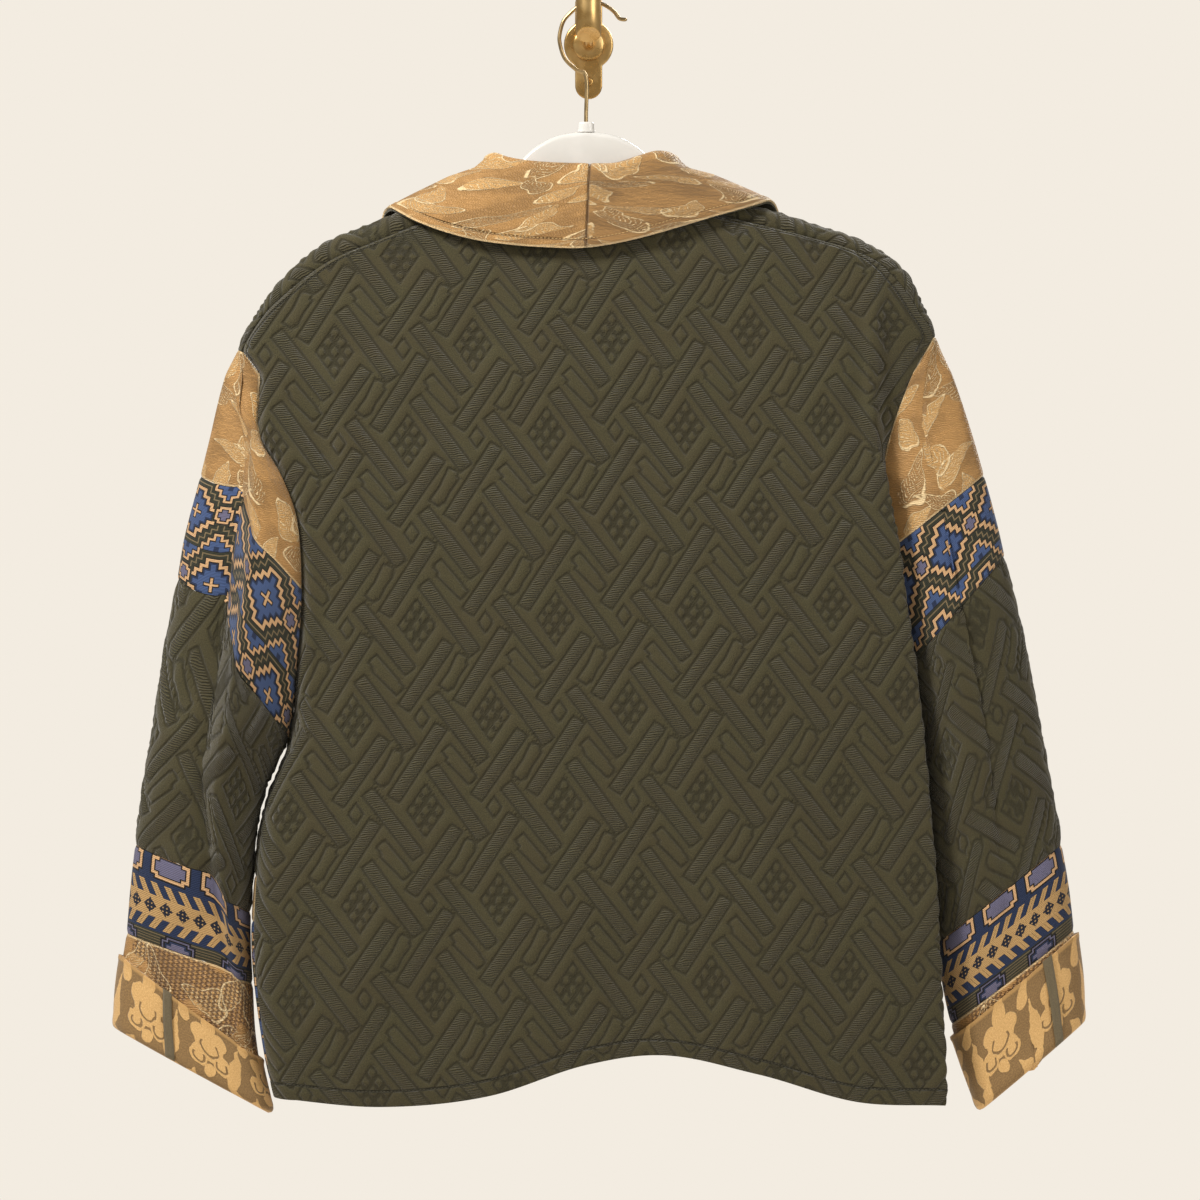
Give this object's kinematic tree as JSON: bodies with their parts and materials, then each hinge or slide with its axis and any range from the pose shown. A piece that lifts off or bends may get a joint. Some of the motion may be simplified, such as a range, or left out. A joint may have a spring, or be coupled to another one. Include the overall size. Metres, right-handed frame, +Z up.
{
  "type": "shawl collar jacket on a hanger and wall hook",
  "caption": "Hip-length shawl collar jacket of pieced quilted and woven cloth with turned-back cuffs, hanging back outwards on a hanger on a brass wall hook.",
  "frame": {"origin": "centre of the back of the wall plate, on the wall", "axes": "+Z up, +Y into the wall, +X to the right of somebody who looks at the jacket's back"},
  "size_m": [0.7814, 0.1213, 0.9213],
  "materials": {
    "olive": "matt quilted cloth",
    "gold": "brocade with a slight sheen",
    "kilim": "matt woven cloth",
    "border": "matt woven band",
    "damask": "damask with a slight sheen",
    "khaki": "matt cotton",
    "plastic": "glossy white",
    "brass": "satin"
  },
  "bodies": {
    "root": {"back": "olive", "front_yoke_left": "olive", "front_yoke_right": "olive", "front_band_left": "gold", "front_band_right": "gold", "front_lower_left": "kilim", "front_lower_right": "kilim", "collar_left": "gold", "collar_right": "gold", "under_collar": "olive", "sleeve_gold_left": "gold", "sleeve_gold_right": "gold", "sleeve_kilim_left": "kilim", "sleeve_kilim_right": "kilim", "sleeve_lower_left": "olive", "sleeve_lower_right": "olive", "sleeve_border_left": "border", "sleeve_border_right": "border", "sleeve_end_left": "gold", "sleeve_end_right": "gold", "cuff_left": "damask", "cuff_right": "damask", "strap_left": "khaki", "strap_right": "khaki", "hanger": "plastic", "hanger_boss": "plastic", "hanger_wire": "brass", "wall_plate": "brass", "hook_boss": "brass", "hook_arm": "brass", "hook_tube": "brass", "plate_screw_top": "brass", "plate_screw_bottom": "brass"}
  },
  "joints": []
}
